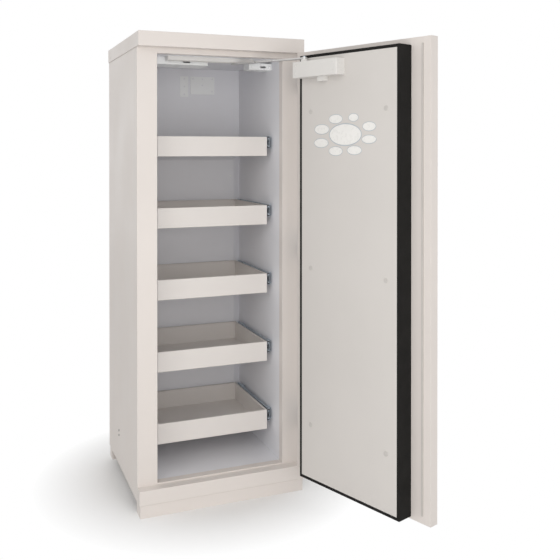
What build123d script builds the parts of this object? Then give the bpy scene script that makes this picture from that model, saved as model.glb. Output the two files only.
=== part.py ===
from build123d import *
import math
import os

# Fire-resistant laboratory cabinet with one door and five sliding trays.
# Millimetres. X to the right, Y to the back, Z up. The origin lies on the floor,
# in the middle of the width, below the plane of the body's front frame.

# ---- body ----
WIDTH = 600.0            # body over its side skins
DEPTH = 554.0            # body from the front frame to the back skin
HEIGHT = 1640.0          # floor to the top of the cap
WALL = 69.0              # side wall: skin, insulating core and liner
BACK_WALL = 69.0
SKIN = 1.5               # painted outer sheet
LINER = 6.0              # light inner board
PLINTH_H = 43.0
CORNICE_H = 50.0         # front box above the plinth
CAP_H = 50.0
OVERHANG = 37.0          # how far cap and cornice stand out over the front frame
CAP_SIDE = 3.0           # how far the cap stands out over each side
CAP_SHEET = 2.0
CAP_LAP = 30.0           # side skins reach this far up inside the cap
CAP_FIT = 0.5            # cap to the body inside it
THRESHOLD = 5.0          # bottom rail above the cornice
RETURN_DEPTH = 30.0      # how deep the front frame turns into the opening
GROOVE_INSET = 39.0      # middle of the rolled groove in each stile, from the body's side
GROOVE_W = 10.0
GROOVE_D = 2.0

# ---- base ----
PLINTH_INSET = 3.0       # plinth ends inside the body's sides
PLINTH_SETBACK = 4.0     # plinth face behind the cornice face
PLINTH_DEPTH = 58.0      # front plinth channel
REAR_PLINTH_DEPTH = 50.0
PLINTH_SHEET = 2.0

# ---- exhaust collar and earth stud ----
COLLAR_BACK = 45.0       # axis of the collar in front of the inner back wall
COLLAR_R = 37.5
COLLAR_H = 45.0
COLLAR_SHEET = 1.5
FLANGE_W = 14.0
FLANGE_T = 2.0
STUD_INSET = 80.0        # from the body's right side
STUD_Z = 110.0
STUD_R = 3.0
STUD_L = 20.0
WASHER_R = 7.0
WASHER_T = 1.6
NUT_R = 5.8
NUT_T = 5.0

# ---- door ----
OPEN_ANGLE = 109.5       # the door as it is stored
DOOR_GAP = 3.0           # door leaf to cap, cornice, frame and body side
LEAF_T = 34.0            # outer leaf of the door
PLUG_DEPTH = 57.0        # plug, from the leaf to the face of the inner panel
PLUG_GAP_SIDE = 9.0      # plug to the sides of the opening
PLUG_GAP_END = 6.0       # plug to the top and bottom of the opening
GASKET_T = 3.0           # black wrap round the plug
GASKET_RIM = 10.0        # its rim on the plug's face
PANEL_T = 3.0            # grey inner panel
SEAL_INSET = 31.0        # smoke seal strips, in from the edges of the leaf
SEAL_W = 6.0
SEAL_LOW = 24.0          # their ends, in from the bottom and the top of the leaf
SEAL_HIGH = 20.0
SEAL_PROUD = 2.6
SEAL_SEAT = 1.2
SEAL_FIT = 0.5
SCREW_CAP_R = 8.0        # caps over the screws of the inner panel
SCREW_CAP_H = 2.0
SCREW_CAP_DOME = 1.2
SCREW_CAP_INSET = 54.0   # from the plug's sides
SCREW_CAP_LOW = 193.0    # lowest pair above the plug's lower end
SCREW_CAP_MID = 731.0    # middle pair above the plug's lower end
SCREW_CAP_HIGH = 195.0   # highest pair below the plug's upper end
PULL_INSET = 48.0        # handle, in from the free edge of the door
PULL_Z = 980.0
PULL_L = 180.0
PULL_W = 16.0
PULL_T = 12.0
PULL_ROOM = 26.0         # room for the fingers behind the grip
PULL_FOOT_H = 16.0
PULL_FOOT_W = 14.0
PULL_FOOT_END = 1.0      # feet in from the ends of the grip
PULL_JOIN = 2.0          # feet reach this far into the grip

# ---- hinges ----
HINGE_Y = -38.0          # axis of the door, in the plane of the body's side
KNUCKLE_R = 6.0
KNUCKLE_ROOM = 1.0       # leaf corner to the knuckles
PIN_R = 3.5
PIN_FIT = 0.05           # radial clearance of the pin in the door knuckle
PIN_L = 44.5
PIN_END_FIT = 0.5
HINGE_L = 96.0
HINGE_SPLIT = 1.0        # between the two knuckles
HINGE_LEAF_T = 2.4
HINGE_LEAF_L = 46.0      # frame leaf on the body's side
HINGE_LOW = 134.0        # lowest hinge above the lower end of the leaf
HINGE_HIGH = 137.0       # foot of the highest hinge below the leaf's upper end

# ---- door closer ----
SPINDLE_DX = 120.0       # spindle from the hinge axis, along the closed door
SPINDLE_DY = 111.0       # spindle from the hinge axis, towards the interior
SPINDLE_R = 7.0
SPINDLE_FIT = 0.05
SPINDLE_CAP = 2.0        # spindle above the arm
SLEEVE_W = 5.0           # sleeve round the spindle under the arm
CLOSER_L = 210.0
CLOSER_END = 40.0        # housing beyond the spindle, towards the hinges
CLOSER_T = 38.0
CLOSER_H = 54.0
CLOSER_DROP = 31.0       # top of the housing below the ceiling
LUG_OFF = 65.0           # lug below the housing, from the spindle
LUG_W = 30.0
LUG_T = 22.0
LUG_H = 16.0
ARM_L = 312.8
ARM_W = 22.0
ARM_T = 5.0
ARM_RISE = 10.0          # underside of the arm above the housing
ARM_FIT = 0.5
ROLLER_R = 6.5
ROLLER_H = 9.0
ROLLER_PIN_R = 2.5
ROLLER_FIT = 0.05
ROLLER_PLAY = 0.3        # roller to the arm
ROLLER_PIN_OVER = 1.2    # pin above the roller
ROLLER_OFF = 0.5         # roller of the stored door before the middle of the rail
RAIL_OFF = 7.0           # middle of the rail behind the spindle of the closed door
RAIL_W = 38.0
RAIL_H = 14.0
RAIL_SHEET = 1.5
RAIL_OPEN_END = 68.4307  # rail beyond the roller of the stored door
RAIL_SIDE_GAP = 53.0     # the rail's other end from the left liner

# ---- trays and slides ----
TRAY_COUNT = 5
TOP_BAY = 283.0          # rim of the highest tray below the ceiling
LOW_BAY = 166.0          # rim of the lowest tray above the floor panel
TRAY_H = 72.0
TRAY_Y = 95.0            # face of a tray that is pushed in
TRAY_BACK_GAP = 9.0      # tray to the duct cover
TRAY_SHEET = 1.5
TRAY_HEM = 8.0           # return along the tray's rim, folded inwards
TRAY_CORNER_R = 2.5
TRAY_EDGE_R = 2.0
SLIDE_SET = 3.0          # front end of the slides behind the tray's face
SLIDE_END = 17.0         # their back end before the tray's back
SLIDE_H = 45.0
SLIDE_T = 12.7
SLIDE_SHEET = 1.2
SLIDE_RISE = 2.0         # top of the slides above the rim of the tray
OUTER_TIP = 3.0          # flange ends and webs of the members, from the tray's side
MID_H = 34.0
MID_TIP = 3.6
MID_WEB = 9.6
INNER_H = 23.0
INNER_TIP = 6.6
CAGE_L = 70.0
CAGE_W = 3.8
CAGE_OFF = 4.2           # ball cages from the tray's side
CAGE_FIT = 0.3
BRACKET_L = 34.0
BRACKET_H = 38.0
BRACKET_T = 9.8          # room between the outer members and the wall
BRACKET_END = 12.0       # brackets from the ends of the slides

# ---- inside ----
DUCT_DROP = 349.0        # cover of the air duct, below the ceiling
DUCT_T = 11.0
DUCT_BEVEL = 26.0
DUCT_GAP = 2.0
VENT_DROP = 31.0         # vent plates below the ceiling
VENT_T = 3.0
VENT_HOLE_R = 3.5
VENT_CORNER_R = 3.0
BOX_SHEET = 1.5
BOX_GAP = 7.0            # ceiling boxes behind the closer's rail
BOX_H = 25.0
BOX_SLOT_H = 7.0
BOX_SLOT_DROP = 2.0      # slot below the middle of the face

# ---- derived places ----
HALF = WIDTH / 2
OPEN_X = HALF - WALL
BODY_BOTTOM = PLINTH_H
LEDGE_Z = PLINTH_H + CORNICE_H
OPEN_Z0 = LEDGE_Z + THRESHOLD
CAP_Z = HEIGHT - CAP_H
OPEN_Z1 = HEIGHT - WALL
INNER_BACK = DEPTH - BACK_WALL
CORE_X = OPEN_X + LINER
LEAF_Y0 = -DOOR_GAP - LEAF_T
LEAF_Y1 = -DOOR_GAP
LEAF_X = HALF - DOOR_GAP
LEAF_Z0 = LEDGE_Z + DOOR_GAP
LEAF_Z1 = CAP_Z - DOOR_GAP
PLUG_X = OPEN_X - PLUG_GAP_SIDE
PLUG_Z0 = OPEN_Z0 + PLUG_GAP_END
PLUG_Z1 = OPEN_Z1 - PLUG_GAP_END
PLUG_Y = LEAF_Y1 + PLUG_DEPTH
COLLAR_Y = INNER_BACK - COLLAR_BACK
HINGE_X = HALF
HINGE_AXIS = Axis((HINGE_X, HINGE_Y, 0), (0, 0, 1))
SPINDLE_X = HINGE_X - SPINDLE_DX
SPINDLE_Y = HINGE_Y + SPINDLE_DY
CLOSER_TOP = OPEN_Z1 - CLOSER_DROP
ARM_Z = CLOSER_TOP + ARM_RISE
RAIL_Y = SPINDLE_Y + RAIL_OFF
BOX_Y = RAIL_Y + RAIL_W / 2 + BOX_GAP
GROOVE_X = HALF - GROOVE_INSET
TRAY_W = 2 * (OPEN_X - BRACKET_T - SLIDE_T)
TRAY_D = INNER_BACK - DUCT_T - TRAY_BACK_GAP - TRAY_Y
LOWEST_TRAY_TOP = OPEN_Z0 + LOW_BAY
TRAY_PITCH = (OPEN_Z1 - TOP_BAY - LOWEST_TRAY_TOP) / (TRAY_COUNT - 1)
SLIDE_Y = TRAY_Y + SLIDE_SET
SLIDE_L = TRAY_D - SLIDE_SET - SLIDE_END


def block(x0, x1, y0, y1, z0, z1):
    """Rectangular block between two corners."""
    size = Box(abs(x1 - x0), abs(y1 - y0), abs(z1 - z0))
    return Pos((x0 + x1) / 2, (y0 + y1) / 2, (z0 + z1) / 2) * size


def rod(x, y, z0, z1, radius):
    """Upright cylinder."""
    return Pos(x, y, (z0 + z1) / 2) * Cylinder(radius, z1 - z0)


def mirror_x(shape):
    return mirror(shape, about=Plane.YZ)


def upright_profile(points, z0, z1):
    """Section drawn in X and Y, standing from z0 to z1."""
    face = make_face(Polyline(*[(x, y) for x, y in points], close=True))
    return Pos(0, 0, z0) * extrude(face, z1 - z0)


def run_profile(points, y0, y1):
    """Section drawn in X and Z, running along Y."""
    face = make_face(Polyline(*[(x, 0, z) for x, z in points], close=True))
    return Pos(0, y0, 0) * extrude(face, y1 - y0, dir=(0, 1, 0))


def swing(shape):
    """Turn a piece of the closed door to the stored, open place."""
    return shape.rotate(HINGE_AXIS, OPEN_ANGLE)


def save(name, *shapes):
    solids = [s for shape in shapes for s in shape.solids()]
    export_step(Compound(children=solids), f"parts/{name}.step")


# ---------------------------------------------------------------- body shell
def side_skin():
    return block(HALF - SKIN, HALF, SKIN, DEPTH, BODY_BOTTOM, CAP_Z + CAP_LAP)


def side_core():
    z0 = OPEN_Z0 - LINER
    z1 = OPEN_Z1 + LINER
    return block(CORE_X, HALF - SKIN, SKIN, DEPTH - SKIN, z0, z1)


def side_liner():
    return block(OPEN_X, CORE_X, RETURN_DEPTH, INNER_BACK, OPEN_Z0, OPEN_Z1)


def stile():
    """Front stile: face, rolled seal groove and a return into the opening."""
    g0 = GROOVE_X - GROOVE_W / 2
    g1 = GROOVE_X + GROOVE_W / 2
    t = SKIN
    points = [
        (OPEN_X, 0), (g0, 0), (g0, GROOVE_D), (g1, GROOVE_D), (g1, 0), (HALF, 0),
        (HALF, t), (g1 + t, t), (g1 + t, GROOVE_D + t), (g0 - t, GROOVE_D + t),
        (g0 - t, t), (OPEN_X + t, t), (OPEN_X + t, RETURN_DEPTH), (OPEN_X, RETURN_DEPTH),
    ]
    return upright_profile(points, LEDGE_Z, CAP_Z)


def stile_relief():
    """Space for the stile's groove and return, cut out of the cores."""
    g0 = GROOVE_X - GROOVE_W / 2 - SKIN
    g1 = GROOVE_X + GROOVE_W / 2 + SKIN
    groove = block(g0, g1, 0, GROOVE_D + SKIN, LEDGE_Z, CAP_Z)
    inward = block(OPEN_X, OPEN_X + SKIN, 0, RETURN_DEPTH, LEDGE_Z, CAP_Z)
    return [groove, inward]


def top_rail():
    face = block(-OPEN_X, OPEN_X, 0, SKIN, OPEN_Z1, CAP_Z)
    lip = block(-OPEN_X, OPEN_X, 0, RETURN_DEPTH, OPEN_Z1, OPEN_Z1 + SKIN)
    return face + lip


def bottom_rail():
    face = block(-OPEN_X, OPEN_X, 0, SKIN, LEDGE_Z, OPEN_Z0)
    lip = block(-OPEN_X, OPEN_X, 0, RETURN_DEPTH, OPEN_Z0 - SKIN, OPEN_Z0)
    return face + lip


def top_core():
    z0 = OPEN_Z1 + LINER
    return block(-HALF + SKIN, HALF - SKIN, SKIN, DEPTH - SKIN, z0, HEIGHT - CAP_SHEET)


def bottom_core():
    z1 = OPEN_Z0 - LINER
    return block(-HALF + SKIN, HALF - SKIN, SKIN, DEPTH - SKIN, BODY_BOTTOM + SKIN, z1)


def back_core():
    z0 = OPEN_Z0 - LINER
    z1 = OPEN_Z1 + LINER
    return block(-CORE_X, CORE_X, INNER_BACK + LINER, DEPTH - SKIN, z0, z1)


def top_cap():
    """Folded cover: top, four skirts and a lip under the front overhang."""
    x = HALF + CAP_SIDE
    t = CAP_SHEET
    outer = block(-x, x, -OVERHANG, DEPTH + CAP_SIDE, CAP_Z, HEIGHT)
    outer = fillet(outer.edges().filter_by(Axis.Z), 3.0)
    outer = fillet(outer.faces().sort_by(Axis.Z)[-1].edges(), 2.0)
    inside = block(-x + t, x - t, -OVERHANG + t, DEPTH + CAP_SIDE - t, CAP_Z + t, HEIGHT - t)
    f = CAP_FIT
    body_room = block(-HALF - f, HALF + f, 0, DEPTH + f, CAP_Z, HEIGHT - t)
    return outer - inside - body_room - exhaust_bore()


def exhaust_collar():
    """Spigot for the exhaust hose, with a flange that lies on the cap."""
    foot = rod(0, COLLAR_Y, HEIGHT, HEIGHT + FLANGE_T, COLLAR_R + FLANGE_W)
    tube = rod(0, COLLAR_Y, HEIGHT, HEIGHT + COLLAR_H, COLLAR_R)
    return foot + tube - exhaust_bore()


def exhaust_bore():
    """Path of the exhaust air, from the interior up through the collar."""
    top = HEIGHT + COLLAR_H + 1
    return rod(0, COLLAR_Y, OPEN_Z1 - 1, top, COLLAR_R - COLLAR_SHEET)


def cornice():
    """Front box under the door: face, ledge, end walls and floor lip."""
    t = SKIN
    outer = block(-HALF, HALF, -OVERHANG, 0, PLINTH_H, LEDGE_Z)
    outer = fillet(outer.edges().filter_by(Axis.X).sort_by(Axis.Y)[:2], 2.0)
    inside = block(-HALF + t, HALF - t, -OVERHANG + t, 1, PLINTH_H + t, LEDGE_Z - t)
    return outer - inside


def plinth(y0, y1):
    """Closed channel that stands on the floor."""
    t = PLINTH_SHEET
    x = HALF - PLINTH_INSET
    outer = block(-x, x, y0, y1, 0, PLINTH_H)
    return outer - block(-x + t, x - t, y0 + t, y1 - t, t, PLINTH_H + 1)


def earth_stud():
    """Bonding stud with its nut and washer on the back."""
    foot = Pos(HALF - STUD_INSET, DEPTH, STUD_Z) * Rot(-90, 0, 0)
    stud = extrude(Circle(STUD_R), STUD_L)
    washer = extrude(Circle(WASHER_R), WASHER_T)
    nut = extrude(RegularPolygon(NUT_R, 6), WASHER_T + NUT_T)
    return foot * (stud + washer + nut)


def make_body():
    save("casing_right", side_skin())
    save("casing_left", mirror_x(side_skin()))
    back = block(-HALF + SKIN, HALF - SKIN, DEPTH - SKIN, DEPTH, BODY_BOTTOM, CAP_Z + CAP_LAP)
    save("casing_back", back)
    bottom = block(-HALF + SKIN, HALF - SKIN, SKIN, DEPTH - SKIN, BODY_BOTTOM, BODY_BOTTOM + SKIN)
    save("casing_bottom", bottom)
    relief = stile_relief()
    core = side_core() - relief
    save("core_right", core)
    save("core_left", mirror_x(core))
    save("core_back", back_core())
    top = top_core() - relief - [mirror_x(r) for r in relief] - exhaust_bore()
    save("core_top", top)
    save("core_bottom", bottom_core())
    save("liner_right", side_liner())
    save("liner_left", mirror_x(side_liner()))
    save("liner_back", block(-CORE_X, CORE_X, INNER_BACK, INNER_BACK + LINER, OPEN_Z0, OPEN_Z1))
    y0 = RETURN_DEPTH
    y1 = INNER_BACK + LINER
    ceiling = block(-CORE_X, CORE_X, y0, y1, OPEN_Z1, OPEN_Z1 + LINER)
    save("ceiling_panel", ceiling - exhaust_bore())
    save("floor_panel", block(-CORE_X, CORE_X, y0, y1, OPEN_Z0 - LINER, OPEN_Z0))
    save("stile_right", stile())
    save("stile_left", mirror_x(stile()))
    save("rail_top", top_rail())
    save("rail_bottom", bottom_rail())
    save("top_cap", top_cap())
    save("exhaust_collar", exhaust_collar())
    save("base_cornice", cornice())
    front = -OVERHANG + PLINTH_SETBACK
    save("plinth_front", plinth(front, front + PLINTH_DEPTH))
    save("plinth_rear", plinth(DEPTH - REAR_PLINTH_DEPTH, DEPTH))
    save("earth_stud", earth_stud())


# ---------------------------------------------------------------- inside
def duct_cover():
    """Shallow cover on the back wall with sloping edges."""
    x = OPEN_X - DUCT_GAP
    low = OPEN_Z0
    top = OPEN_Z1 - DUCT_DROP
    face_top = top - DUCT_BEVEL
    foot = Pos(0, INNER_BACK, (low + top) / 2) * Rot(90, 0, 0) * Rectangle(2 * x, top - low)
    head = Pos(0, INNER_BACK - DUCT_T, (low + face_top) / 2) * Rot(90, 0, 0)
    head = head * Rectangle(2 * (x - DUCT_BEVEL), face_top - low)
    return loft([foot, head])


# left and right edge, height, and each hole's place from the upper left corner
VENT_PLATES = (
    (-24.0, 10.0, 84.0, ((17.0, 10.0), (17.0, 42.0), (17.0, 74.0))),
    (20.0, 122.0, 72.0, ((10.0, 9.0), (50.0, 9.0), (92.0, 9.0), (50.0, 35.0), (92.0, 60.0))),
)


def vent_plates():
    """Two perforated plates over the air outlets in the back wall."""
    z1 = OPEN_Z1 - VENT_DROP
    plates = []
    for x0, x1, height, holes in VENT_PLATES:
        plate = block(x0, x1, INNER_BACK - VENT_T, INNER_BACK, z1 - height, z1)
        plate = fillet(plate.edges().filter_by(Axis.Y), VENT_CORNER_R)
        for dx, dz in holes:
            hole = Cylinder(VENT_HOLE_R, 4 * VENT_T)
            plate = plate - Pos(x0 + dx, INNER_BACK, z1 - dz) * Rot(90, 0, 0) * hole
        plates.append(plate)
    return plates


# left, right, depth, top, middle of the slot from the left, length of the slot
CEILING_BOXES = {
    "ceiling_box_left": (3.0 - OPEN_X, -18.0, 110.0, OPEN_Z1, 130.0, 28.0),
    "ceiling_box_right": (OPEN_X - 91.0, OPEN_X, 60.0, OPEN_Z1 - 8.0, 56.0, 22.0),
}


def ceiling_box(x0, x1, depth, z1, slot_dx, slot_l):
    """Folded cover with a slot in its face, open at the top."""
    t = BOX_SHEET
    z0 = z1 - BOX_H
    y1 = BOX_Y + depth
    outer = block(x0, x1, BOX_Y, y1, z0, z1)
    outer = fillet(outer.edges().filter_by(Axis.Z).sort_by(Axis.Y)[:2], 2.0)
    inside = block(x0 + t, x1 - t, BOX_Y + t, y1 - t, z0 + t, z1 + 1)
    slot = Pos(x0 + slot_dx, BOX_Y, (z0 + z1) / 2 - BOX_SLOT_DROP) * Rot(90, 0, 0)
    slot = slot * extrude(SlotOverall(slot_l, BOX_SLOT_H), 4 * t, both=True)
    return outer - inside - slot


def stored_spindle():
    """Place of the closer's spindle when the door is stored, in X and Y."""
    a = math.radians(OPEN_ANGLE)
    x = HINGE_X - SPINDLE_DX * math.cos(a) - SPINDLE_DY * math.sin(a)
    y = HINGE_Y - SPINDLE_DX * math.sin(a) + SPINDLE_DY * math.cos(a)
    return x, y


def stored_arm_angle():
    """Angle of the arm against -X that brings its roller into the rail."""
    rise = RAIL_Y - ROLLER_OFF - stored_spindle()[1]
    return math.asin(rise / ARM_L)


def closer_rail():
    """Channel under the ceiling, open downwards, closed at its ends."""
    t = RAIL_SHEET
    x0 = RAIL_SIDE_GAP - OPEN_X
    x1 = stored_spindle()[0] - ARM_L * math.cos(stored_arm_angle()) + RAIL_OPEN_END
    y0 = RAIL_Y - RAIL_W / 2
    y1 = RAIL_Y + RAIL_W / 2
    z0 = OPEN_Z1 - RAIL_H
    outer = block(x0, x1, y0, y1, z0, OPEN_Z1)
    return outer - block(x0 + t, x1 - t, y0 + t, y1 - t, z0 - 1, OPEN_Z1 - t)


def make_inside():
    save("duct_cover", duct_cover())
    save("vent_plates", *vent_plates())
    for name, sizes in CEILING_BOXES.items():
        save(name, ceiling_box(*sizes))
    save("closer_rail", closer_rail())


# ---------------------------------------------------------------- trays
def tray_top(index):
    """Rim of tray 1, the highest, to tray 5, the lowest."""
    return LOWEST_TRAY_TOP + (TRAY_COUNT - index) * TRAY_PITCH


def tray(index):
    """Folded tray with a hemmed rim, open at the top."""
    t = TRAY_SHEET
    x = TRAY_W / 2
    z1 = tray_top(index)
    z0 = z1 - TRAY_H
    y0 = TRAY_Y
    y1 = TRAY_Y + TRAY_D
    outer = block(-x, x, y0, y1, z0, z1)
    outer = fillet(outer.edges().filter_by(Axis.Z), TRAY_CORNER_R)
    outer = fillet(outer.faces().sort_by(Axis.Z)[0].edges(), TRAY_EDGE_R)
    inside = block(-x + t, x - t, y0 + t, y1 - t, z0 + t, z1 - t)
    h = TRAY_HEM
    mouth = block(-x + h, x - h, y0 + h, y1 - h, z1 - 2 * t, z1 + 1)
    return outer - inside - mouth


def channel(u_web, u_tip, half):
    """Section of a slide member: a web at u_web and two flanges that end at u_tip.

    u runs from the tray's side to the wall, from 0 to SLIDE_T, and z is
    measured from the middle of the slide.
    """
    s = SLIDE_SHEET
    u_in = u_web + s if u_tip > u_web else u_web - s
    return [
        (u_web, half), (u_web, -half), (u_tip, -half), (u_tip, s - half),
        (u_in, s - half), (u_in, half - s), (u_tip, half - s), (u_tip, half),
    ]


def right_member(section, index, y0, length):
    zc = tray_top(index) + SLIDE_RISE - SLIDE_H / 2
    points = [(TRAY_W / 2 + u, zc + z) for u, z in section]
    return run_profile(points, y0, y0 + length)


def outer_member(index):
    section = channel(SLIDE_T, OUTER_TIP, SLIDE_H / 2)
    return right_member(section, index, SLIDE_Y, SLIDE_L)


def mid_member(index):
    section = channel(MID_WEB, MID_TIP, MID_H / 2)
    return right_member(section, index, SLIDE_Y, SLIDE_L)


def inner_member(index):
    section = channel(0.0, INNER_TIP, INNER_H / 2)
    return right_member(section, index, SLIDE_Y, SLIDE_L)


def cage(index, low, high, y0):
    """Ball cage in one raceway: a strip between two flanges."""
    u0 = CAGE_OFF
    u1 = CAGE_OFF + CAGE_W
    return right_member([(u0, low), (u0, high), (u1, high), (u1, low)], index, y0, CAGE_L)


def ball_cages(index):
    """Four strips of one slide: two outside and two inside the middle member."""
    gaps = (
        (MID_H / 2 + CAGE_FIT, SLIDE_H / 2 - SLIDE_SHEET - CAGE_FIT, SLIDE_Y + SLIDE_L - CAGE_L),
        (INNER_H / 2 + CAGE_FIT, MID_H / 2 - SLIDE_SHEET - CAGE_FIT, SLIDE_Y),
    )
    strips = []
    for low, high, y0 in gaps:
        strips.append(cage(index, low, high, y0))
        strips.append(cage(index, -high, -low, y0))
    return strips


def bracket(index, y0):
    """Spacer between an outer member and the wall: a web and two feet."""
    zc = tray_top(index) + SLIDE_RISE - SLIDE_H / 2
    u0 = OPEN_X - BRACKET_T
    h = BRACKET_H / 2
    t = SKIN
    points = [
        (u0, zc - h), (u0, zc + h), (OPEN_X, zc + h), (OPEN_X, zc + h - t),
        (u0 + t, zc + h - t), (u0 + t, zc - h + t), (OPEN_X, zc - h + t), (OPEN_X, zc - h),
    ]
    return run_profile(points, y0, y0 + BRACKET_L)


def both_sides(shapes):
    shapes = list(shapes)
    return shapes + [mirror_x(s) for s in shapes]


def make_trays():
    brackets = []
    outers = []
    for index in range(1, TRAY_COUNT + 1):
        save(f"tray_{index}", tray(index))
        save(f"slide_inner_{index}", *both_sides([inner_member(index)]))
        save(f"slide_middle_{index}", *both_sides([mid_member(index)] + ball_cages(index)))
        outers += both_sides([outer_member(index)])
        ends = (SLIDE_Y + BRACKET_END, SLIDE_Y + SLIDE_L - BRACKET_END - BRACKET_L)
        brackets += both_sides([bracket(index, y0) for y0 in ends])
    save("slide_outers", *outers)
    save("slide_brackets", *brackets)


# ---------------------------------------------------------------- hinges
def hinge_levels():
    """Low and high end of each frame knuckle and each door knuckle."""
    low = LEAF_Z0 + HINGE_LOW
    high = LEAF_Z1 - HINGE_HIGH
    for z in (low, (low + high) / 2, high):
        mid = z + HINGE_L / 2
        yield z, mid - HINGE_SPLIT / 2, mid + HINGE_SPLIT / 2, z + HINGE_L


def hinge_notches(extra=KNUCKLE_ROOM):
    """Room for the knuckles, taken out of the leaf's corner."""
    return [rod(HINGE_X, HINGE_Y, z0 - 3, z3 + 3, KNUCKLE_R + extra)
            for z0, _, _, z3 in hinge_levels()]


def frame_leaves():
    """Lower knuckles, each on a leaf along the body's side."""
    parts = []
    for z0, z1, _, z3 in hinge_levels():
        leaf = block(HALF, HALF + HINGE_LEAF_T, HINGE_Y, HINGE_LEAF_L, z0, z1)
        leaf = leaf + block(HALF, HALF + HINGE_LEAF_T, 2, HINGE_LEAF_L, z0, z3)
        parts.append(leaf + rod(HINGE_X, HINGE_Y, z0, z1, KNUCKLE_R))
    return parts


def hinge_pins():
    return [rod(HINGE_X, HINGE_Y, z1, z1 + PIN_L, PIN_R) for _, z1, _, _ in hinge_levels()]


def door_leaves():
    """Upper knuckles on leaves along the edge of the door."""
    parts = []
    for _, z1, z2, z3 in hinge_levels():
        t = HINGE_LEAF_T
        leaf = block(LEAF_X, LEAF_X + t, HINGE_Y, LEAF_Y1 - 2, z2, z3)
        barrel = rod(HINGE_X, HINGE_Y, z2, z3, KNUCKLE_R)
        bore = rod(HINGE_X, HINGE_Y, z2 - 1, z1 + PIN_L + PIN_END_FIT, PIN_R + PIN_FIT)
        parts.append(swing(leaf + barrel - bore))
    return parts


# ---------------------------------------------------------------- door
def door_skin():
    """Painted pan: face, four edges and a return with the seal groove."""
    t = SKIN
    x = LEAF_X
    outer = block(-x, x, LEAF_Y0, LEAF_Y1, LEAF_Z0, LEAF_Z1)
    outer = fillet(outer.faces().sort_by(Axis.Y)[0].edges(), 2.0)
    inside = block(-x + t, x - t, LEAF_Y0 + t, LEAF_Y1 - t, LEAF_Z0 + t, LEAF_Z1 - t)
    px = PLUG_X - GASKET_T
    mouth = block(-px, px, LEAF_Y1 - 2 * t, LEAF_Y1 + 1, PLUG_Z0 + GASKET_T, PLUG_Z1 - GASKET_T)
    skin = outer - inside - mouth
    for strip in seal_strips(SEAL_FIT, LEAF_Y1 + 1):
        skin = skin - strip
    for notch in hinge_notches():
        skin = skin - notch
    return skin


def seal_strips(room, y1):
    """Two upright strips beside the plug, or with room their seats."""
    h = SEAL_W / 2 + room
    z0 = LEAF_Z0 + SEAL_LOW - room
    z1 = LEAF_Z1 - SEAL_HIGH + room
    strips = []
    for x in (-LEAF_X + SEAL_INSET, LEAF_X - SEAL_INSET):
        strips.append(block(x - h, x + h, LEAF_Y1 - SEAL_SEAT, y1, z0, z1))
    return strips


def door_core():
    t = SKIN
    x = LEAF_X - t
    core = block(-x, x, LEAF_Y0 + t, LEAF_Y1 - t, LEAF_Z0 + t, LEAF_Z1 - t)
    for notch in hinge_notches(2.5):
        core = core - notch
    return core


def plug_core():
    x = PLUG_X - GASKET_T
    z0 = PLUG_Z0 + GASKET_T
    z1 = PLUG_Z1 - GASKET_T
    return block(-x, x, LEAF_Y1 - SKIN, PLUG_Y - PANEL_T, z0, z1)


def plug_gasket():
    """Black wrap round the plug's four sides with a rim on its face."""
    t = GASKET_T
    r = GASKET_RIM
    outer = block(-PLUG_X, PLUG_X, LEAF_Y1, PLUG_Y, PLUG_Z0, PLUG_Z1)
    room = block(-PLUG_X + t, PLUG_X - t, LEAF_Y1 - 1, PLUG_Y - PANEL_T, PLUG_Z0 + t, PLUG_Z1 - t)
    window = block(-PLUG_X + r, PLUG_X - r, LEAF_Y1, PLUG_Y + 1, PLUG_Z0 + r, PLUG_Z1 - r)
    return outer - room - window


def inner_panel():
    r = GASKET_RIM
    return block(-PLUG_X + r, PLUG_X - r, PLUG_Y - PANEL_T, PLUG_Y, PLUG_Z0 + r, PLUG_Z1 - r)


def panel_caps():
    """Low domed caps over the six screws of the inner panel."""
    rows = (PLUG_Z0 + SCREW_CAP_LOW, PLUG_Z0 + SCREW_CAP_MID, PLUG_Z1 - SCREW_CAP_HIGH)
    x = PLUG_X - SCREW_CAP_INSET
    caps = []
    for cx, z in [(side * x, z) for side in (-1, 1) for z in rows]:
        cap = Pos(cx, PLUG_Y, z) * Rot(-90, 0, 0) * extrude(Circle(SCREW_CAP_R), SCREW_CAP_H)
        caps.append(fillet(cap.edges().sort_by(Axis.Y)[-1], SCREW_CAP_DOME))
    return caps


def closer_housing():
    """Rounded housing on the plug, with a lug below and the spindle on top."""
    x1 = SPINDLE_X + CLOSER_END
    z0 = CLOSER_TOP - CLOSER_H
    box = block(x1 - CLOSER_L, x1, PLUG_Y, PLUG_Y + CLOSER_T, z0, CLOSER_TOP)
    box = fillet(box.edges().filter_by(Axis.Z).sort_by(Axis.Y)[2:], 3.0)
    lug_x = SPINDLE_X - LUG_OFF
    lug = block(lug_x - LUG_W, lug_x, PLUG_Y, PLUG_Y + LUG_T, z0 - LUG_H, z0)
    lug = fillet(lug.edges().filter_by(Axis.Y).sort_by(Axis.Z)[:2], 5.0)
    top = ARM_Z + ARM_T + SPINDLE_CAP
    spindle = rod(SPINDLE_X, SPINDLE_Y, CLOSER_TOP, top, SPINDLE_R)
    sleeve = rod(SPINDLE_X, SPINDLE_Y, CLOSER_TOP, ARM_Z - ARM_FIT, SPINDLE_R + SLEEVE_W)
    return box + lug + spindle + sleeve


def arm_placed(shape):
    """Turn a piece drawn on the closed arm, along -X, to its stored place."""
    spindle = Axis((SPINDLE_X, SPINDLE_Y, 0), (0, 0, 1))
    turned = shape.rotate(spindle, -math.degrees(stored_arm_angle()) - OPEN_ANGLE)
    return swing(turned)


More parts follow.
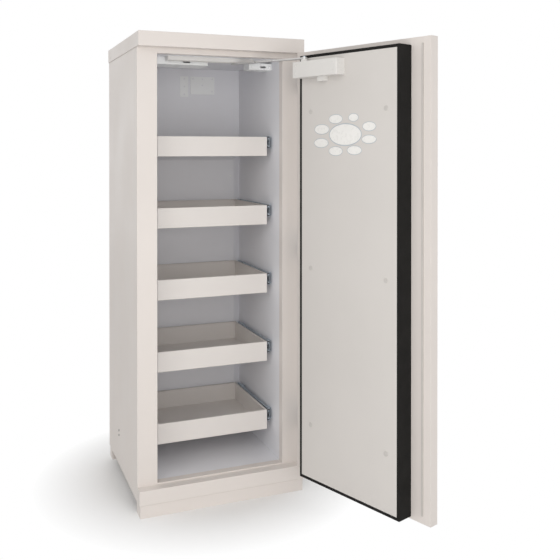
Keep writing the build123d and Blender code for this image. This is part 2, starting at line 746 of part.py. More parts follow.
def closer_arm():
    """Flat bar with two eyes; drawn from the spindle towards -X."""
    x0 = SPINDLE_X - ARM_L
    z1 = ARM_Z + ARM_T
    pin_top = z1 + ROLLER_PLAY + ROLLER_H + ROLLER_PIN_OVER
    bar = block(x0, SPINDLE_X, SPINDLE_Y - ARM_W / 2, SPINDLE_Y + ARM_W / 2, ARM_Z, z1)
    eye = rod(SPINDLE_X, SPINDLE_Y, ARM_Z, z1, ARM_W / 2)
    tip = rod(x0, SPINDLE_Y, ARM_Z, z1, ARM_W / 2)
    pin = rod(x0, SPINDLE_Y, ARM_Z, pin_top, ROLLER_PIN_R)
    bore = rod(SPINDLE_X, SPINDLE_Y, ARM_Z - 1, z1 + 1, SPINDLE_R + SPINDLE_FIT)
    return arm_placed(bar + eye + tip + pin - bore)


def arm_roller():
    """Roller that runs in the rail, on the pin at the end of the arm."""
    x0 = SPINDLE_X - ARM_L
    z0 = ARM_Z + ARM_T + ROLLER_PLAY
    wheel = rod(x0, SPINDLE_Y, z0, z0 + ROLLER_H, ROLLER_R)
    bore = rod(x0, SPINDLE_Y, z0 - 1, z0 + ROLLER_H + 1, ROLLER_PIN_R + ROLLER_FIT)
    return arm_placed(wheel - bore)


def pull_handle():
    """Bow handle on the outer face, near the free edge."""
    x = -LEAF_X + PULL_INSET
    half = PULL_L / 2
    y1 = LEAF_Y0 - PULL_ROOM
    grip = block(x - PULL_W / 2, x + PULL_W / 2, y1 - PULL_T, y1, PULL_Z - half, PULL_Z + half)
    grip = fillet(grip.edges().filter_by(Axis.Z), 4.0)
    for end in (-1, 1):
        z0 = PULL_Z + end * (half - PULL_FOOT_END)
        z1 = z0 - end * PULL_FOOT_H
        w = PULL_FOOT_W / 2
        grip = grip + block(x - w, x + w, y1 - PULL_JOIN, LEAF_Y0, z0, z1)
    return grip


def make_door():
    save("hinge_frame_leaves", *frame_leaves())
    save("hinge_pins", *hinge_pins())
    save("hinge_door_leaves", *door_leaves())
    save("door_skin", swing(door_skin()))
    save("door_core", swing(door_core()))
    save("plug_core", swing(plug_core()))
    save("plug_gasket", swing(plug_gasket()))
    save("inner_panel", swing(inner_panel()))
    save("panel_caps", *[swing(c) for c in panel_caps()])
    save("smoke_seal", *[swing(s) for s in seal_strips(0, LEAF_Y1 + SEAL_PROUD)])
    save("closer_housing", swing(closer_housing()))
    save("pull_handle", swing(pull_handle()))
    save("closer_arm", closer_arm())
    save("closer_roller", arm_roller())


os.makedirs("parts", exist_ok=True)
make_body()
make_inside()
make_trays()
make_door()
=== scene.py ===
import math

import bmesh
import bpy
from mathutils import Matrix, Vector


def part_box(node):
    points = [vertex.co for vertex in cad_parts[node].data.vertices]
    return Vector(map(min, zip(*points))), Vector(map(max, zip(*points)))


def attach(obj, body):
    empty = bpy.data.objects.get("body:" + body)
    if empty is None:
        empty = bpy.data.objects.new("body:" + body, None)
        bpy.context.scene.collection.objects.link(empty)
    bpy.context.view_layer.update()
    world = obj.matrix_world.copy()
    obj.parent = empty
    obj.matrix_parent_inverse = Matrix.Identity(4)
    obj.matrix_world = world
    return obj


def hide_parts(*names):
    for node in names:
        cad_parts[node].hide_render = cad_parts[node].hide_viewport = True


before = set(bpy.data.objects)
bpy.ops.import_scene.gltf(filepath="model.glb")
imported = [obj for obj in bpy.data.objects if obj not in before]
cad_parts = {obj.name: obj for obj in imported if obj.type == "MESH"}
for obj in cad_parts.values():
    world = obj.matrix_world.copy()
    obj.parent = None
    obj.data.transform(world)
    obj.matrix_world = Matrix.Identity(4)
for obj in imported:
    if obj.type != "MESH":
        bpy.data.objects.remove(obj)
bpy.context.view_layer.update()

# The dressed cabinet: metres, X right, Y back, Z up, origin on the floor.
# The door is stored open. What is fitted to it is placed on the closed door, and SWING opens it.
OPEN_ANGLE = math.radians(109.5)
HINGE = Vector((0.300, -0.038, 0.0))
SWING = Matrix.Translation(HINGE) @ Matrix.Rotation(OPEN_ANGLE, 4, "Z") @ Matrix.Translation(-HINGE)
TRAY_COUNT = 5

LEFT, RIGHT = (-1, 0, 0), (1, 0, 0)
FRONT, BACK = (0, -1, 0), (0, 1, 0)
UP = (0, 0, 1)


# ------------------------------------------------------------------ camera
SENSOR_WIDTH = 36.0
FOCAL_LENGTH = 49.54
SHIFT = -0.2276             # keeps upright edges upright, as the photograph does
CAMERA_PLACE = (-0.8295, -2.5986, 1.2472)
CAMERA_TILT = 89.64         # degrees up from straight down
CAMERA_TURN = -22.03        # degrees, seen from above
CLIP_END = 60.0


def make_camera():
    """Camera at the photograph's viewing angle, fitted to the cabinet's straight edges."""
    data = bpy.data.cameras.new("camera")
    data.sensor_width = SENSOR_WIDTH
    data.lens = FOCAL_LENGTH
    data.shift_y = SHIFT
    data.clip_end = CLIP_END
    camera = bpy.data.objects.new("camera", data)
    camera.location = CAMERA_PLACE
    camera.rotation_euler = (math.radians(CAMERA_TILT), 0.0, math.radians(CAMERA_TURN))
    bpy.context.collection.objects.link(camera)
    bpy.context.scene.camera = camera


# --------------------------------------------------------------- materials
COAT_ROUGH = 0.25
SOFT_EDGE = 0.0008              # radius that rounds the shading of every edge
SOFT_SAMPLES = 4
EDGE_SAMPLES = 6
EDGE_DOT = (0.93, 0.999)        # of the rounded and the true normal: at an edge, and away from it
NOISE_ROUGH = 0.55
NOISE_RANGE = (0.3, 0.7)        # most of the noise lies between these
PATCH_DETAIL = 4.0
PATCH_LIGHTER, GRAIN_DARKER = 0.5, 0.8      # shares of how much a colour varies
GRAIN_SHOWS = 0.05              # colours that vary more than this show their grain too
RUB_FINER, RUB_DETAIL = 9, 5.0  # rubbed places against the patches' size
RUB_RANGE = (0.42, 0.62)        # noise between which the rubbing sets in
RUB_SHOWS = 0.8                 # how far the edge's own colour comes through
GLOSS_FINER = 2.3               # patches of gloss against the patches of colour
GLOSS_VARIES = 0.08


def srgb(r, g, b):
    """Colour written as 0 to 255 in sRGB, as linear RGBA."""
    def linear(c):
        c /= 255.0
        return c / 12.92 if c <= 0.04045 else ((c + 0.055) / 1.055) ** 2.4
    return (linear(r), linear(g), linear(b), 1.0)


def tint(colour, factor):
    return tuple(c * factor for c in colour[:3]) + (1.0,)


class Nodes:
    """A material's node tree, with short calls for the nodes used here."""

    def __init__(self, name):
        self.material = bpy.data.materials.new(name)
        self.material.use_nodes = True
        self.tree = self.material.node_tree
        self.shader = self.tree.nodes["Principled BSDF"]
        self.object_coords = self.tree.nodes.new("ShaderNodeTexCoord").outputs["Object"]

    def add(self, kind, **values):
        node = self.tree.nodes.new(kind)
        for key, value in values.items():
            setattr(node, key, value)
        return node

    def link(self, out, socket):
        self.tree.links.new(out, socket)

    def coords(self, stretch):
        if stretch == (1, 1, 1):
            return self.object_coords
        mapping = self.add("ShaderNodeMapping")
        mapping.inputs["Scale"].default_value = stretch
        self.link(self.object_coords, mapping.inputs["Vector"])
        return mapping.outputs["Vector"]

    def noise(self, scale, detail=3.0, stretch=(1, 1, 1)):
        node = self.add("ShaderNodeTexNoise")
        node.inputs["Scale"].default_value = scale
        node.inputs["Detail"].default_value = detail
        node.inputs["Roughness"].default_value = NOISE_ROUGH
        self.link(self.coords(stretch), node.inputs["Vector"])
        return node.outputs["Fac"]

    def spread(self, value, low, high, between=NOISE_RANGE):
        """Map a value between two others to the range from low to high."""
        node = self.add("ShaderNodeMapRange")
        node.inputs["From Min"].default_value, node.inputs["From Max"].default_value = between
        node.inputs["To Min"].default_value = low
        node.inputs["To Max"].default_value = high
        self.link(value, node.inputs["Value"])
        return node.outputs["Result"]

    def mix(self, factor, a, b):
        """Blend two colours, each one fixed or from a socket."""
        node = self.add("ShaderNodeMix", data_type="RGBA")
        self.link(factor, node.inputs["Factor"])
        for value, socket in ((a, node.inputs["A"]), (b, node.inputs["B"])):
            if isinstance(value, tuple):
                socket.default_value = value
            else:
                self.link(value, socket)
        return node.outputs["Result"]

    def rounded(self, radius, samples):
        bevel = self.add("ShaderNodeBevel", samples=samples)
        bevel.inputs["Radius"].default_value = radius
        return bevel.outputs["Normal"]

    def edge(self, width):
        """1 near an edge of the mesh, 0 on its faces."""
        geometry = self.add("ShaderNodeNewGeometry")
        dot = self.add("ShaderNodeVectorMath", operation="DOT_PRODUCT")
        self.link(self.rounded(width, EDGE_SAMPLES), dot.inputs[0])
        self.link(geometry.outputs["Normal"], dot.inputs[1])
        return self.spread(dot.outputs["Value"], 1.0, 0.0, EDGE_DOT)

    def bump(self, height, strength, distance, normal=None):
        node = self.add("ShaderNodeBump")
        node.inputs["Strength"].default_value = strength
        node.inputs["Distance"].default_value = distance
        self.link(height, node.inputs["Height"])
        if normal is not None:
            self.link(normal, node.inputs["Normal"])
        return node.outputs["Normal"]


def patchy(n, colour, patch, vary, grain):
    """Base colour in broad patches, and in its grain where it varies much."""
    broad = n.spread(n.noise(patch, PATCH_DETAIL), 0.0, 1.0)
    base = n.mix(broad, tint(colour, 1.0 - vary), tint(colour, 1.0 + vary * PATCH_LIGHTER))
    if vary > GRAIN_SHOWS:
        base = n.mix(n.spread(grain, 0.0, 1.0), base, tint(colour, 1.0 - vary * GRAIN_DARKER))
    return base


def worn(n, base, wear, edge, patch):
    """Base colour with its edges rubbed in places."""
    rubbed = n.add("ShaderNodeMath", operation="MULTIPLY")
    n.link(n.edge(edge), rubbed.inputs[0])
    places = n.noise(patch * RUB_FINER, RUB_DETAIL)
    n.link(n.spread(places, 0.0, RUB_SHOWS, RUB_RANGE), rubbed.inputs[1])
    return n.mix(rubbed.outputs["Value"], base, wear)


def finish(name, colour, rough, fine, strength, distance, patch, vary, stretch=(1, 1, 1),
           metallic=0.0, wear=None, edge=0.0012, coat=0.0, specular=0.5):
    """A material with broad colour patches, fine bump, varied gloss and worn edges.

    fine and patch are noise scales, of the grain and of the patches of colour; strength and
    distance belong to the grain's bump; wear is the colour of edges rubbed over a width of edge.
    """
    n = Nodes(name)
    inputs = n.shader.inputs
    inputs["Metallic"].default_value = metallic
    inputs["Specular IOR Level"].default_value = specular
    if coat:
        inputs["Coat Weight"].default_value = coat
        inputs["Coat Roughness"].default_value = COAT_ROUGH
    grain = n.noise(fine, stretch=stretch)
    base = patchy(n, colour, patch, vary, grain)
    if wear is not None:
        base = worn(n, base, wear, edge, patch)
    n.link(base, inputs["Base Color"])
    gloss = n.noise(patch * GLOSS_FINER, PATCH_DETAIL)
    n.link(n.spread(gloss, rough - GLOSS_VARIES, rough + GLOSS_VARIES), inputs["Roughness"])
    n.link(n.bump(grain, strength, distance, n.rounded(SOFT_EDGE, SOFT_SAMPLES)), inputs["Normal"])
    return n.material


PAINT = finish("housing_paint", srgb(228, 221, 216), rough=0.42, fine=900, strength=0.22, distance=0.0002,
               patch=2.4, vary=0.02, wear=srgb(244, 242, 238), edge=0.0011)
TRAY = finish("tray_paint", srgb(230, 225, 221), rough=0.38, fine=1000, strength=0.2, distance=0.00018,
              patch=5.0, vary=0.02, wear=srgb(246, 245, 242))
LINER = finish("liner_board", srgb(236, 236, 240), rough=0.5, fine=420, strength=0.16, distance=0.00015,
               patch=3.1, vary=0.025)
PANEL = finish("panel_board", srgb(214, 210, 206), rough=0.52, fine=380, strength=0.2, distance=0.0002,
               patch=2.6, vary=0.03)
CORE = finish("core_board", srgb(196, 186, 170), rough=0.85, fine=260, strength=0.6, distance=0.0008,
              patch=12.0, vary=0.09)
COVER = finish("white_cover", srgb(247, 248, 248), rough=0.36, fine=800, strength=0.18, distance=0.00015,
               patch=4.0, vary=0.02)
GASKET = finish("gasket_black", srgb(25, 24, 23), rough=0.7, fine=320, strength=0.5, distance=0.0004,
                patch=7.0, vary=0.16, stretch=(1, 1, 0.35), wear=srgb(48, 46, 45), specular=0.2)
SEAL = finish("seal_grey", srgb(206, 201, 196), rough=0.7, fine=500, strength=0.4, distance=0.0003,
              patch=20.0, vary=0.06)
ZINC = finish("zinc", srgb(188, 200, 210), rough=0.3, fine=240, strength=0.25, distance=0.00015, patch=30.0,
              vary=0.08, stretch=(1, 0.08, 1), metallic=0.9, wear=srgb(228, 230, 234), edge=0.0006)
CLOSER = finish("closer_paint", srgb(226, 224, 221), rough=0.33, fine=700, strength=0.16, distance=0.00012,
                patch=6.0, vary=0.02, wear=srgb(240, 239, 236))
ARM = finish("closer_metal", srgb(205, 204, 203), rough=0.34, fine=500, strength=0.2, distance=0.00012,
             patch=14.0, vary=0.06, metallic=0.55, wear=srgb(232, 232, 230))
NYLON = finish("roller_nylon", srgb(236, 234, 226), rough=0.45, fine=600, strength=0.2, distance=0.0001,
               patch=40.0, vary=0.03)
HANDLE = finish("handle_grey", srgb(120, 120, 122), rough=0.4, fine=700, strength=0.25, distance=0.00015,
                patch=9.0, vary=0.05, wear=srgb(158, 158, 160))
BRASS = finish("brass", srgb(206, 172, 96), rough=0.28, fine=500, strength=0.2, distance=0.0001, patch=60.0,
               vary=0.1, metallic=1.0, wear=srgb(236, 214, 150), edge=0.0005)
CAPS = finish("panel_caps", srgb(201, 197, 193), rough=0.4, fine=900, strength=0.15, distance=0.0001,
              patch=30.0, vary=0.03)
STICKER = finish("sticker_white", srgb(240, 239, 236), rough=0.3, fine=700, strength=0.05, distance=0.00005,
                 patch=30.0, vary=0.02, coat=0.3)
STICKER_RING = finish("sticker_ring", srgb(186, 192, 198), rough=0.32, fine=700, strength=0.05,
                      distance=0.00005, patch=30.0, vary=0.03, coat=0.3)
DARK = finish("dark_plastic", srgb(58, 58, 60), rough=0.5, fine=500, strength=0.2, distance=0.0001,
              patch=40.0, vary=0.08)

# each material with the starts of the names of the nodes that wear it
NODE_MATERIALS = (
    (PAINT, ("casing_", "stile_", "rail_", "top_cap", "exhaust_collar", "base_cornice", "plinth_",
             "door_skin")),
    (CORE, ("core_", "door_core", "plug_core")),
    (LINER, ("liner_", "ceiling_panel", "floor_panel", "duct_cover")),
    (COVER, ("vent_plates", "ceiling_box")),
    (TRAY, ("tray_",)),
    (ZINC, ("slide_", "hinge_")),
    (GASKET, ("plug_gasket",)),
    (SEAL, ("smoke_seal",)),
    (PANEL, ("inner_panel",)),
    (CAPS, ("panel_caps",)),
    (CLOSER, ("closer_housing", "closer_rail")),
    (ARM, ("closer_arm",)),
    (NYLON, ("closer_roller",)),
    (HANDLE, ("pull_handle",)),
    (BRASS, ("earth_stud",)),
)


def dress_nodes():
    """Give every CAD node its material."""
    for name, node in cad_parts.items():
        for material, starts in NODE_MATERIALS:
            if name.startswith(starts):
                for place in node.material_slots:
                    place.material = material


# ------------------------------------------------------------- mesh helpers
SCREW_STEPS = 24
HEAD_SUNK = 0.0002          # depth of a screw head in what it holds
PAN_HEAD = ((1.0, 0.35), (0.92, 0.72), (0.7, 0.95), (0.5, 1.0))     # shares of radius and height
# rim and floor of the recess: shares of the radius on its arms and between them, and of the height
RECESS = ((0.46, 0.17, 0.98), (0.30, 0.12, 0.35))


def piece(name, mesh, body, material, place=None, smooth=False):
    """Link a finished bmesh as an object that rides on a body."""
    data = bpy.data.meshes.new(name)
    if place is not None:
        mesh.transform(place)
    bmesh.ops.recalc_face_normals(mesh, faces=mesh.faces)
    mesh.to_mesh(data)
    mesh.free()
    for polygon in data.polygons:
        polygon.use_smooth = smooth
    obj = bpy.data.objects.new(name, data)
    bpy.context.collection.objects.link(obj)
    for one in material if isinstance(material, list) else [material]:
        data.materials.append(one)
    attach(obj, body)
    return obj


def facing(x, y, z, direction):
    """Frame at a point whose Z axis looks along a direction."""
    turn = Vector(direction).to_track_quat("Z", "Y").to_matrix().to_4x4()
    return Matrix.Translation((x, y, z)) @ turn


def ring(mesh, place, radii, height):
    """Ring of vertices about Z, with one radius for each step."""
    points = []
    for k, radius in enumerate(radii):
        angle = 2 * math.pi * k / len(radii)
        point = Vector((radius * math.cos(angle), radius * math.sin(angle), height))
        points.append(mesh.verts.new(place @ point))
    return points


def bands(mesh, rings, index=0):
    """Faces between each ring and the next, where a ring may be a single point."""
    for low, high in zip(rings, rings[1:]):
        for k in range(max(len(low), len(high))):
            a, b = low[k % len(low)], low[(k + 1) % len(low)]
            c, d = high[(k + 1) % len(high)], high[k % len(high)]
            corners = list(dict.fromkeys((a, b, c, d)))
            mesh.faces.new(corners).material_index = index


def lathe(mesh, profile, place, steps=24):
    """Turn a profile of (radius, height) about Z and put it at a place."""
    rings = []
    for radius, height in profile:
        count = steps if radius > 0 else 1
        rings.append(ring(mesh, place, [radius] * count, height))
    bands(mesh, rings)


def cross(radius, arm, between):
    """Radii of a cross recess: one share of the radius on its four arms, one between them."""
    return [radius * (arm if k % 6 in (0, 1, 5) else between) for k in range(SCREW_STEPS)]


def screw(mesh, place, radius, height):
    """Pan head with a cross recess."""
    rings = [ring(mesh, place, [radius] * SCREW_STEPS, -HEAD_SUNK)]
    for wide, tall in PAN_HEAD:
        rings.append(ring(mesh, place, [radius * wide] * SCREW_STEPS, height * tall))
    for arm, between, tall in RECESS:
        rings.append(ring(mesh, place, cross(radius, arm, between), height * tall))
    bands(mesh, rings)
    mesh.faces.new(rings[-1])


def oval(width, height, steps=48):
    return [(width / 2 * math.cos(2 * math.pi * k / steps), height / 2 * math.sin(2 * math.pi * k / steps))
            for k in range(steps)]


def plate(mesh, outline, z0, z1, place, chamfer, index):
    """Flat plate from an outline of (x, y) about its origin, with a chamfered upper edge."""
    rings = []
    for inset, z in ((0.0, z0), (0.0, z1 - chamfer), (chamfer, z1)):
        level = []
        for point in outline:
            reach = Vector(point)
            reach = reach * (1.0 - inset / reach.length)
            level.append(mesh.verts.new(place @ Vector((reach.x, reach.y, z))))
        rings.append(level)
    bands(mesh, rings, index)
    mesh.faces.new(rings[-1]).material_index = index
    mesh.faces.new(list(reversed(rings[0]))).material_index = index


def brick(mesh, low, high):
    """Rectangular block between two corners."""
    corners = [mesh.verts.new((x, y, z)) for z in (low[2], high[2]) for y in (low[1], high[1])
               for x in (low[0], high[0])]
    for face in ((0, 2, 3, 1), (4, 5, 7, 6), (0, 1, 5, 4), (2, 6, 7, 3), (0, 4, 6, 2), (1, 3, 7, 5)):
        mesh.faces.new([corners[k] for k in face])


# ------------------------------------------------------- on the front frame
STILE_SHEET = 0.0015


def plain_stile(node, side):
    """Flat stile with its return, in place of one with a groove."""
    low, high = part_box(node)
    inner, outer = sorted((low[0], high[0]), key=abs)
    mesh = bmesh.new()
    face_back = low[1] + STILE_SHEET
    brick(mesh, (min(inner, outer), low[1], low[2]), (max(inner, outer), face_back, high[2]))
    edge = inner + side * STILE_SHEET
    brick(mesh, (min(inner, edge), face_back, low[2]), (max(inner, edge), high[1], high[2]))
    stile = piece("plain_" + node, mesh, "root", PAINT)
    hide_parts(node)


# ------------------------------------------------------------- on the door
PANEL_Y = 0.054             # face of the inner panel on the closed door
STICKER_BASE = 0.0004
STICKER_TOP = 0.0006
STICKER_CHAMFER = 0.0001
WIDE_RIM = 0.0035
THIN_RIM = 0.002
# middle, width and height of each blank oval on the closed door, the large one first
STICKERS = (
    (0.006, 1.290, 0.147, 0.075), (0.049, 1.342, 0.064, 0.032), (-0.031, 1.345, 0.045, 0.028),
    (-0.099, 1.315, 0.058, 0.031), (-0.098, 1.274, 0.063, 0.029), (-0.035, 1.239, 0.065, 0.031),
    (0.049, 1.236, 0.064, 0.032), (0.117, 1.263, 0.069, 0.033), (0.114, 1.309, 0.071, 0.035),
)


def blank_stickers():
    """Blank ovals on the inner panel, each with a grey rim."""
    mesh = bmesh.new()
    for n, (x, z, wide, tall) in enumerate(STICKERS):
        rim = WIDE_RIM if n == 0 else THIN_RIM
        place = Matrix.Translation((x, PANEL_Y, z)) @ Matrix.Rotation(-math.pi / 2, 4, "X")
        plate(mesh, oval(wide, tall), 0.0, STICKER_BASE, place, STICKER_CHAMFER, 1)
        inside = oval(wide - 2 * rim, tall - 2 * rim)
        plate(mesh, inside, STICKER_BASE, STICKER_TOP, place, STICKER_CHAMFER, 0)
    piece("blank_stickers", mesh, "door", [STICKER, STICKER_RING], SWING)


# ------------------------------------------------------------- on the sides
SIDE_X = -0.300
SIDE_PLUG_Y = 0.341
SIDE_PLUG_LEVELS = (0.173, 0.155)
SIDE_PLUG = ((0.0042, 0.0), (0.0042, 0.0006), (0.0034, 0.0012), (0.0012, 0.0014), (0.0, 0.0014))


def side_plugs():
    """Two small plugs low on the left side."""
    mesh = bmesh.new()
    for z in SIDE_PLUG_LEVELS:
        lathe(mesh, SIDE_PLUG, facing(SIDE_X, SIDE_PLUG_Y, z, LEFT))
    piece("side_plugs", mesh, "root", DARK, smooth=True)


# ---------------------------------------------------------------- on hinges
HINGE_LEVELS = (0.230, 0.840, 1.450)
FRAME_LEAF_X = 0.3024       # outer face of the leaves on the frame
FRAME_SCREW_Y = 0.030
FRAME_SCREW_RISES = (0.014, 0.034, 0.062, 0.082)
FRAME_SCREW = (0.0042, 0.0012)
DOOR_LEAF_X = 0.2994        # outer face of the leaves on the closed door
DOOR_SCREW_Y = -0.018
DOOR_SCREW_RISES = (0.060, 0.084)
DOOR_SCREW = (0.0036, 0.001)


def hinge_screws():
    """Screws of the three hinges, on the frame and on the door."""
    fixed = bmesh.new()
    moving = bmesh.new()
    for z in HINGE_LEVELS:
        for rise in FRAME_SCREW_RISES:
            screw(fixed, facing(FRAME_LEAF_X, FRAME_SCREW_Y, z + rise, RIGHT), *FRAME_SCREW)
        for rise in DOOR_SCREW_RISES:
            screw(moving, facing(DOOR_LEAF_X, DOOR_SCREW_Y, z + rise, RIGHT), *DOOR_SCREW)
    piece("hinge_screws", fixed, "root", ZINC)
    piece("hinge_door_screws", moving, "door", ZINC, SWING)


# ---------------------------------------------------------------- on slides
TRAY_SHEET = 0.0012
INNER_MEMBER = 0.0066       # depth of a slide's inner member beside the tray
TRAY_SCREW = (0.0036, 0.0014)
TRAY_SCREW_INSET = 0.030
STOP_X = 0.0085             # from the tray's wall to the stop, and its reach to either side
STOP_IN = 0.0052
STOP_OUT = 0.0012
STOP_RISES = (-0.0208, 0.0176)
STOP_HEIGHT = 0.0032
STOP_START = 0.0002
STOP_END = 0.007


def tray_screws(heads, x, side, low, high, middle):
    """Three screws through one inner member."""
    for y in (low[1] + TRAY_SCREW_INSET, (low[1] + high[1]) / 2, high[1] - TRAY_SCREW_INSET):
        screw(heads, facing(x, y, middle, (side, 0, 0)), *TRAY_SCREW)


def slide_stops(stops, x, side, front, middle):
    """Two stops at the front end of one outer member."""
    web = x + side * STOP_X
    inner, outer = sorted((web - side * STOP_IN, web + side * STOP_OUT))
    for rise in STOP_RISES:
        foot = middle + rise
        brick(stops, (inner, front + STOP_START, foot), (outer, front + STOP_END, foot + STOP_HEIGHT))


def slide_fittings(index):
    """Screws and stops of one tray's two slides."""
    low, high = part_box(f"slide_inner_{index}")
    middle = (low[2] + high[2]) / 2
    heads = bmesh.new()
    stops = bmesh.new()
    depth = INNER_MEMBER - TRAY_SHEET
    for side, x in ((-1, low[0] + depth), (1, high[0] - depth)):
        tray_screws(heads, x, side, low, high, middle)
        slide_stops(stops, x, side, low[1], middle)
    piece(f"tray_screws_{index}", heads, f"tray_{index}", ZINC)
    piece(f"slide_stops_{index}", stops, "root", DARK)


# ---------------------------------------------------------------- on covers
BOX_SCREWS = (("ceiling_box_left", 0.016), ("ceiling_box_right", 0.012))    # inset from either end
BOX_SCREW = (0.0034, 0.0014)
DUCT_SCREW_X = 0.190
DUCT_SCREW_LEVELS = (0.150, 0.640, 1.130)
DUCT_SCREW = (0.0042, 0.0016)


def cover_screws():
    """Screws of the ceiling boxes and of the cover on the back wall."""
    mesh = bmesh.new()
    for node, inset in BOX_SCREWS:
        low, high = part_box(node)
        for x in (low[0] + inset, high[0] - inset):
            screw(mesh, facing(x, low[1], (low[2] + high[2]) / 2, FRONT), *BOX_SCREW)
    low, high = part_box("duct_cover")
    for x in (-DUCT_SCREW_X, DUCT_SCREW_X):
        for z in DUCT_SCREW_LEVELS:
            screw(mesh, facing(x, low[1], z, FRONT), *DUCT_SCREW)
    piece("cover_screws", mesh, "root", COVER)


# ------------------------------------------------------------ on the closer
SPINDLE = (0.180, 0.073, 1.557)     # top of the spindle on the closed door
SPINDLE_SCREW = ((0.0046, 0.0), (0.0046, 0.0022), (0.0040, 0.0028), (0.0024, 0.0028), (0.0024, 0.0008),
                 (0.0, 0.0008))
HOUSING_Y = 0.0920                  # face of the housing
HOUSING_SCREW_X = (0.023, 0.206)
HOUSING_SCREW_LEVELS = (1.500, 1.526)
HOUSING_SCREW = (0.0030, 0.0012)
VALVE_END = (0.010, 0.073)          # end of the housing, and middle of its thickness
VALVE_LEVELS = (1.504, 1.522)
VALVE = ((0.0040, 0.0), (0.0040, 0.0010), (0.0026, 0.0010), (0.0022, 0.0002), (0.0, 0.0002))
VALVE_STEPS = 20


def spindle_screw():
    """Hollow-headed screw that holds the arm on the spindle."""
    mesh = bmesh.new()
    lathe(mesh, SPINDLE_SCREW, Matrix.Translation(SPINDLE))
    piece("spindle_screw", mesh, "door", ZINC, SWING)


def closer_screws():
    """Screws on the housing's face and its two speed valves."""
    mesh = bmesh.new()
    for x in HOUSING_SCREW_X:
        for z in HOUSING_SCREW_LEVELS:
            screw(mesh, facing(x, HOUSING_Y, z, BACK), *HOUSING_SCREW)
    for z in VALVE_LEVELS:
        lathe(mesh, VALVE, facing(*VALVE_END, z, LEFT), VALVE_STEPS)
    piece("closer_screws", mesh, "door", CLOSER, SWING)


# ------------------------------------------------------- at the back and top
BACK_SCREW = (0.0042, 0.0016)
SIDE_COLUMN_X = 0.284
SIDE_COLUMN_LEVELS = (0.075, 0.420, 0.800, 1.180, 1.560)
MIDDLE_COLUMN_X = 0.145
MIDDLE_COLUMN_LEVELS = (0.075, 1.560)
COLLAR_SCREW = (0.0036, 0.0014)
COLLAR_SCREW_RADIUS = 0.0445        # of the circle that the four screws stand on
COLLAR_FLANGE = 0.002
BEAD = ((0.0375, 0.0), (0.0384, 0.0008), (0.0388, 0.0020), (0.0384, 0.0032), (0.0375, 0.0040))
BEAD_BELOW_TOP = 0.010
BEAD_STEPS = 64


def back_screws(mesh):
    """Columns of screws on the back."""
    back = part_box("casing_back")[1][1]
    columns = ((SIDE_COLUMN_X, SIDE_COLUMN_LEVELS), (MIDDLE_COLUMN_X, MIDDLE_COLUMN_LEVELS))
    for column, levels in columns:
        for x in (-column, column):
            for z in levels:
                screw(mesh, facing(x, back, z, BACK), *BACK_SCREW)


def collar_screws(mesh, middle, roof):
    """Four screws in the collar's flange."""
    for quarter in range(4):
        angle = math.radians(45 + 90 * quarter)
        x = middle[0] + COLLAR_SCREW_RADIUS * math.cos(angle)
        y = middle[1] + COLLAR_SCREW_RADIUS * math.sin(angle)
        screw(mesh, facing(x, y, roof + COLLAR_FLANGE, UP), *COLLAR_SCREW)


def back_and_top():
    """Screws of the body, and the bead on the exhaust collar."""
    low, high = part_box("exhaust_collar")
    middle = ((low[0] + high[0]) / 2, (low[1] + high[1]) / 2)
    mesh = bmesh.new()
    back_screws(mesh)
    collar_screws(mesh, middle, low[2])
    piece("body_screws", mesh, "root", ZINC)
    mesh = bmesh.new()
    lathe(mesh, BEAD, Matrix.Translation((*middle, high[2] - BEAD_BELOW_TOP)), BEAD_STEPS)
    piece("collar_bead", mesh, "root", ZINC, smooth=True)


# -------------------------------------------------------- on the earth stud
THREAD_TURNS = 11
THREAD_PITCH = 0.001
THREAD_CORE = 0.0030
THREAD_CREST = 0.00335
THREAD_START = 0.0005
THREAD_BELOW_END = 0.0125
THREAD_STEPS = 28


def stud_thread():
    """Ridges of the thread on the earth stud."""
    low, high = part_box("earth_stud")
    x = (low[0] + high[0]) / 2
    z = (low[2] + high[2]) / 2
    profile = []
    for turn in range(THREAD_TURNS):
        start = THREAD_START + turn * THREAD_PITCH
        profile += [(THREAD_CORE, start), (THREAD_CREST, start + THREAD_PITCH / 2)]
    profile.append((THREAD_CORE, THREAD_START + THREAD_TURNS * THREAD_PITCH))
    mesh = bmesh.new()
    lathe(mesh, profile, facing(x, high[1] - THREAD_BELOW_END, z, BACK), THREAD_STEPS)
    piece("stud_thread", mesh, "root", BRASS)


# ---------------------------------------------------------- floor and light
WHITE = (1.0, 1.0, 1.0, 1.0)
FLOOR_COLOUR = (0.9, 0.9, 0.9, 1.0)
FLOOR_ROUGH = 0.8
FLOOR_GRAIN = 60
FLOOR_RADIUS = 9.0
FLOOR_STEPS = 96
FADE_MIDDLE = (0.0, 0.26, 0.0)      # under the middle of the cabinet
FADE_BETWEEN = (0.34, 0.62)         # distances from it between which the floor turns white
WORLD_COLOUR = (1.0, 0.995, 0.985, 1.0)
WORLD_STRENGTH = 0.62


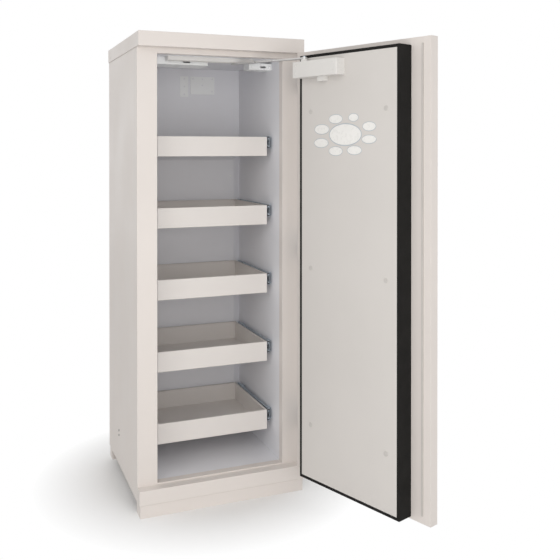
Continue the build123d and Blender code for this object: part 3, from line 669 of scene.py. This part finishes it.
def floor_material():
    """Pale floor that fades to the background's white, for the camera alone."""
    n = Nodes("floor_pale")
    n.shader.inputs["Base Color"].default_value = FLOOR_COLOUR
    n.shader.inputs["Roughness"].default_value = FLOOR_ROUGH
    n.link(n.bump(n.noise(FLOOR_GRAIN), strength=0.05, distance=0.0005), n.shader.inputs["Normal"])
    apart = n.add("ShaderNodeVectorMath", operation="DISTANCE")
    n.link(n.object_coords, apart.inputs[0])
    apart.inputs[1].default_value = FADE_MIDDLE
    fade = n.spread(apart.outputs["Value"], 0.0, 1.0, FADE_BETWEEN)
    path = n.add("ShaderNodeLightPath")
    seen = n.add("ShaderNodeMath", operation="MULTIPLY")
    n.link(fade, seen.inputs[0])
    n.link(path.outputs["Is Camera Ray"], seen.inputs[1])
    glow = n.add("ShaderNodeEmission")
    glow.inputs["Color"].default_value = WHITE
    blend = n.add("ShaderNodeMixShader")
    n.link(seen.outputs["Value"], blend.inputs["Fac"])
    n.link(n.shader.outputs["BSDF"], blend.inputs[1])
    n.link(glow.outputs["Emission"], blend.inputs[2])
    n.link(blend.outputs["Shader"], n.tree.nodes["Material Output"].inputs["Surface"])
    return n.material


def make_floor():
    """Round floor that keeps the cabinet's shadow."""
    mesh = bmesh.new()
    bmesh.ops.create_circle(mesh, cap_ends=True, radius=FLOOR_RADIUS, segments=FLOOR_STEPS)
    data = bpy.data.meshes.new("floor")
    mesh.to_mesh(data)
    mesh.free()
    floor = bpy.data.objects.new("floor", data)
    bpy.context.collection.objects.link(floor)
    data.materials.append(floor_material())


def make_world():
    """Even studio light, seen as white by camera, gloss and glass."""
    world = bpy.data.worlds.new("studio")
    bpy.context.scene.world = world
    world.use_nodes = True
    nodes = world.node_tree.nodes
    link = world.node_tree.links.new
    light = nodes["Background"]
    light.inputs["Color"].default_value = WORLD_COLOUR
    light.inputs["Strength"].default_value = WORLD_STRENGTH
    white = nodes.new("ShaderNodeBackground")
    white.inputs["Color"].default_value = WHITE
    path = nodes.new("ShaderNodeLightPath")
    seen = path.outputs["Is Camera Ray"]
    for ray in ("Is Glossy Ray", "Is Transmission Ray"):
        either = nodes.new("ShaderNodeMath")
        either.operation = "MAXIMUM"
        link(seen, either.inputs[0])
        link(path.outputs[ray], either.inputs[1])
        seen = either.outputs["Value"]
    blend = nodes.new("ShaderNodeMixShader")
    link(seen, blend.inputs["Fac"])
    link(light.outputs["Background"], blend.inputs[1])
    link(white.outputs["Background"], blend.inputs[2])
    link(blend.outputs["Shader"], nodes["World Output"].inputs["Surface"])


def lamp(name, place, target, size, power, colour):
    """Rectangular area lamp that shines at a target."""
    data = bpy.data.lights.new(name, "AREA")
    data.shape = "RECTANGLE"
    data.size, data.size_y = size
    data.energy = power
    data.color = colour
    obj = bpy.data.objects.new(name, data)
    obj.location = place
    obj.rotation_euler = (Vector(target) - Vector(place)).to_track_quat("-Z", "Y").to_euler()
    bpy.context.collection.objects.link(obj)


# ---------------------------------------------------------------- the scene
make_camera()
dress_nodes()
plain_stile("stile_left", -1)
plain_stile("stile_right", 1)
blank_stickers()
side_plugs()
hinge_screws()
for tray in range(1, TRAY_COUNT + 1):
    slide_fittings(tray)
cover_screws()
spindle_screw()
closer_screws()
back_and_top()
stud_thread()

make_floor()
make_world()
lamp("key", place=(-4.2, -4.3, 3.6), target=(0.1, 0.2, 0.8), size=(3.0, 3.0), power=50.0,
     colour=(1.0, 0.975, 0.945))
lamp("front", place=(-0.35, -2.0, 1.05), target=(0.05, 0.4, 0.8), size=(1.2, 1.8), power=13.0,
     colour=(1.0, 0.985, 0.97))

bpy.context.scene.view_settings.view_transform = "Standard"
